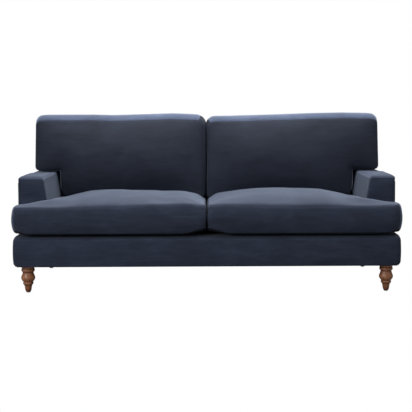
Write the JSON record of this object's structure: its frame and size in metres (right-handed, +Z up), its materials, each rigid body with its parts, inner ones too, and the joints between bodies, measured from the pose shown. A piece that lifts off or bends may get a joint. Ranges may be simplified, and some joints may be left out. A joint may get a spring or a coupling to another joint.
{
  "type": "sofa",
  "caption": "Upholstered sofa with loose T-shaped seat and back cushions, short set-back arms and turned wooden legs.",
  "frame": {"origin": "on the floor, under the middle of the outer box", "axes": "+Z up, -Y is the front that people sit at, +X to the right of someone facing the sofa"},
  "size_m": [2.096, 0.96, 0.943],
  "materials": {
    "turned_wood": "satin varnish",
    "hardware_steel": "zinc plated",
    "spring_steel": "drawn wire",
    "zip_metal": "plated",
    "zip_tape": "woven tape",
    "velvet": "dark slate blue velvet",
    "cushion_filling": "foam in a fibre wrap",
    "foam": "open-cell foam",
    "felt": "needled felt",
    "platform_cloth": "plain weave",
    "dust_cloth": "spun-bonded cloth",
    "webbing": "elastic webbing",
    "board": "hardboard",
    "frame_timber": "sawn hardwood"
  },
  "bodies": {
    "frame": {"arm_bolts": "hardware_steel", "arm_cover_left": "velvet", "arm_cover_right": "velvet", "arm_foam_left": "foam", "arm_foam_right": "foam", "arm_front_panels": "frame_timber", "arm_front_posts": "frame_timber", "arm_inner_boards": "board", "arm_outer_boards": "board", "arm_tack_rails": "frame_timber", "arm_top_rails": "frame_timber", "back_brackets": "hardware_steel", "back_centre_post": "frame_timber", "back_cover": "velvet", "back_foam": "foam", "back_side_posts": "frame_timber", "back_tack_rails": "frame_timber", "back_top_rail": "frame_timber", "back_webbing": "webbing", "base_back_rail": "frame_timber", "base_centre_rail": "frame_timber", "base_front_rail": "frame_timber", "base_side_rails": "frame_timber", "border_cover": "velvet", "border_foam": "foam", "corner_blocks": "frame_timber", "deck_cloth": "platform_cloth", "deck_felt": "felt", "deck_foam": "foam", "dust_cover": "dust_cloth", "leg_bolts": "hardware_steel", "leg_front_left": "turned_wood", "leg_front_right": "turned_wood", "leg_glides": "hardware_steel", "leg_nuts": "hardware_steel", "leg_rear_left": "turned_wood", "leg_rear_right": "turned_wood", "outside_back_board": "board", "outside_back_cover": "velvet", "seat_springs": "spring_steel", "spring_clips": "spring_steel", "spring_tie_wires": "spring_steel"},
    "seat_cushion_left": {"seat_cushion_core_left": "cushion_filling", "seat_cushion_cover_left": "velvet", "seat_cushion_zip_left": "zip_tape"},
    "seat_zip_slider_left": {"seat_cushion_zip_slider_left": "zip_metal"},
    "back_cushion_left": {"back_cushion_core_left": "cushion_filling", "back_cushion_cover_left": "velvet", "back_cushion_zip_left": "zip_tape"},
    "back_zip_slider_left": {"back_cushion_zip_slider_left": "zip_metal"},
    "seat_cushion_right": {"seat_cushion_core_right": "cushion_filling", "seat_cushion_cover_right": "velvet", "seat_cushion_zip_right": "zip_tape"},
    "seat_zip_slider_right": {"seat_cushion_zip_slider_right": "zip_metal"},
    "back_cushion_right": {"back_cushion_core_right": "cushion_filling", "back_cushion_cover_right": "velvet", "back_cushion_zip_right": "zip_tape"},
    "back_zip_slider_right": {"back_cushion_zip_slider_right": "zip_metal"}
  },
  "joints": [
    {"name": "seat_left_pull_out", "type": "slide", "parent": "frame", "child": "seat_cushion_left", "axis": [0, -1, 0], "range_m": [0, 0.83]},
    {"name": "seat_zip_left", "type": "slide", "parent": "seat_cushion_left", "child": "seat_zip_slider_left", "axis": [1, 0, 0], "range_m": [0, 0.54]},
    {"name": "back_left_lift_off", "type": "slide", "parent": "frame", "child": "back_cushion_left", "axis": [0, 0, 1], "range_m": [0, 0.5]},
    {"name": "back_zip_left", "type": "slide", "parent": "back_cushion_left", "child": "back_zip_slider_left", "axis": [1, 0, 0], "range_m": [0, 0.54]},
    {"name": "seat_right_pull_out", "type": "slide", "parent": "frame", "child": "seat_cushion_right", "axis": [0, -1, 0], "range_m": [0, 0.83]},
    {"name": "seat_zip_right", "type": "slide", "parent": "seat_cushion_right", "child": "seat_zip_slider_right", "axis": [-1, 0, 0], "range_m": [0, 0.54]},
    {"name": "back_right_lift_off", "type": "slide", "parent": "frame", "child": "back_cushion_right", "axis": [0, 0, 1], "range_m": [0, 0.5]},
    {"name": "back_zip_right", "type": "slide", "parent": "back_cushion_right", "child": "back_zip_slider_right", "axis": [-1, 0, 0], "range_m": [0, 0.54]}
  ]
}
